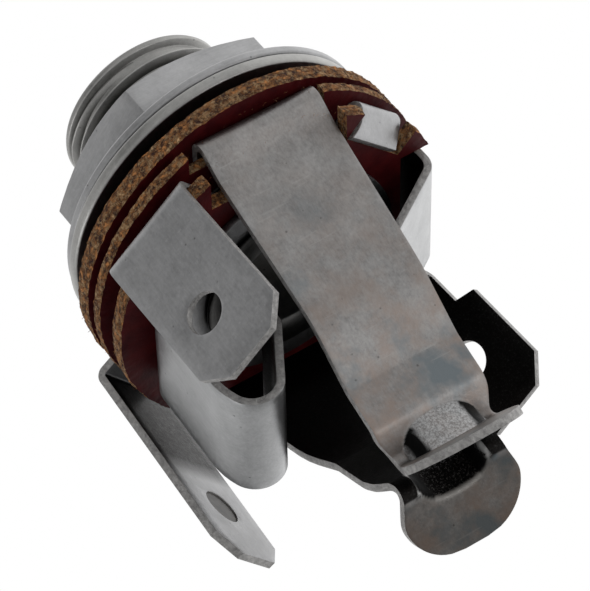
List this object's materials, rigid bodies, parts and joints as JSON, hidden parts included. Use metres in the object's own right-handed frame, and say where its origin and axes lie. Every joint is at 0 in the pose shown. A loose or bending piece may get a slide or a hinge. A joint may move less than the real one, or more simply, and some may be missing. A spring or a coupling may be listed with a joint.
{
  "type": "panel mount phone jack",
  "caption": "Quarter inch phone jack: threaded bushing with hex nut and washer, stacked insulating washers, leaf tip contacts, hairpin sleeve contacts and solder lugs.",
  "frame": {"origin": "on the jack's axis, in the plane of the panel seat, which is the front face of the bushing's flange", "axes": "+Z along the plug's way in, from the threaded nose to the contacts; +X towards the upper tip contact; +Y towards the left sleeve contact"},
  "size_m": [0.0201, 0.0205, 0.0303],
  "materials": {
    "nickel_plated_brass": "dull nickel plate",
    "nickel_plated_steel": "worn nickel plate with a slight brown tarnish",
    "vulcanised_fibre": "dark red fibre, rough brown cut edge",
    "black_insulator": "matt black"
  },
  "bodies": {
    "jack": {"bushing": "nickel_plated_brass", "front_spacer": "black_insulator", "fibre_washer_front": "vulcanised_fibre", "fibre_washer_middle": "vulcanised_fibre", "fibre_washer_rear": "vulcanised_fibre", "insulating_film": "black_insulator", "front_collar": "black_insulator", "rear_collar": "black_insulator", "tip_plate_front": "nickel_plated_steel", "tip_plate_rear": "nickel_plated_steel", "sleeve_plate_front": "nickel_plated_steel", "sleeve_plate_rear": "nickel_plated_steel"},
    "washer": {"flat_washer": "nickel_plated_steel"},
    "nut": {"hex_nut": "nickel_plated_steel"},
    "upper_tip_contact": {"tip_spring_upper": "nickel_plated_steel"},
    "lower_tip_contact": {"tip_spring_lower": "nickel_plated_steel"},
    "left_sleeve_contact": {"sleeve_spring_left": "nickel_plated_steel"},
    "right_sleeve_contact": {"sleeve_spring_right": "nickel_plated_steel"}
  },
  "joints": [
    {"name": "washer_slide", "type": "slide", "parent": "jack", "child": "washer", "axis": [0, 0, -1], "range_m": [0, 0.0034]},
    {"name": "nut_spin", "type": "hinge", "parent": "washer", "child": "nut", "pos_m": [0, 0, -0.0022], "axis": [0, 0, -1], "range_deg": [0, 1543]},
    {"name": "upper_tip_flex", "type": "hinge", "parent": "jack", "child": "upper_tip_contact", "pos_m": [0.00834, 0, 0.00386], "axis": [0, 1, 0], "range_deg": [0, 6], "stiffness_Nm_per_rad": 0.3},
    {"name": "lower_tip_flex", "type": "hinge", "parent": "jack", "child": "lower_tip_contact", "pos_m": [-0.0085, 0, 0.00488], "axis": [0, -1, 0], "range_deg": [0, 6], "stiffness_Nm_per_rad": 0.3},
    {"name": "left_sleeve_flex", "type": "hinge", "parent": "jack", "child": "left_sleeve_contact", "pos_m": [0, 0.00813, 0.00725], "axis": [-1, 0, 0], "range_deg": [0, 5], "stiffness_Nm_per_rad": 0.3},
    {"name": "right_sleeve_flex", "type": "hinge", "parent": "jack", "child": "right_sleeve_contact", "pos_m": [0, -0.0082, 0.00583], "axis": [1, 0, 0], "range_deg": [0, 5], "stiffness_Nm_per_rad": 0.3}
  ],
  "couplings": [
    {"joint": "nut_spin", "follows": "washer_slide", "rad_per_m": 7915.8}
  ]
}
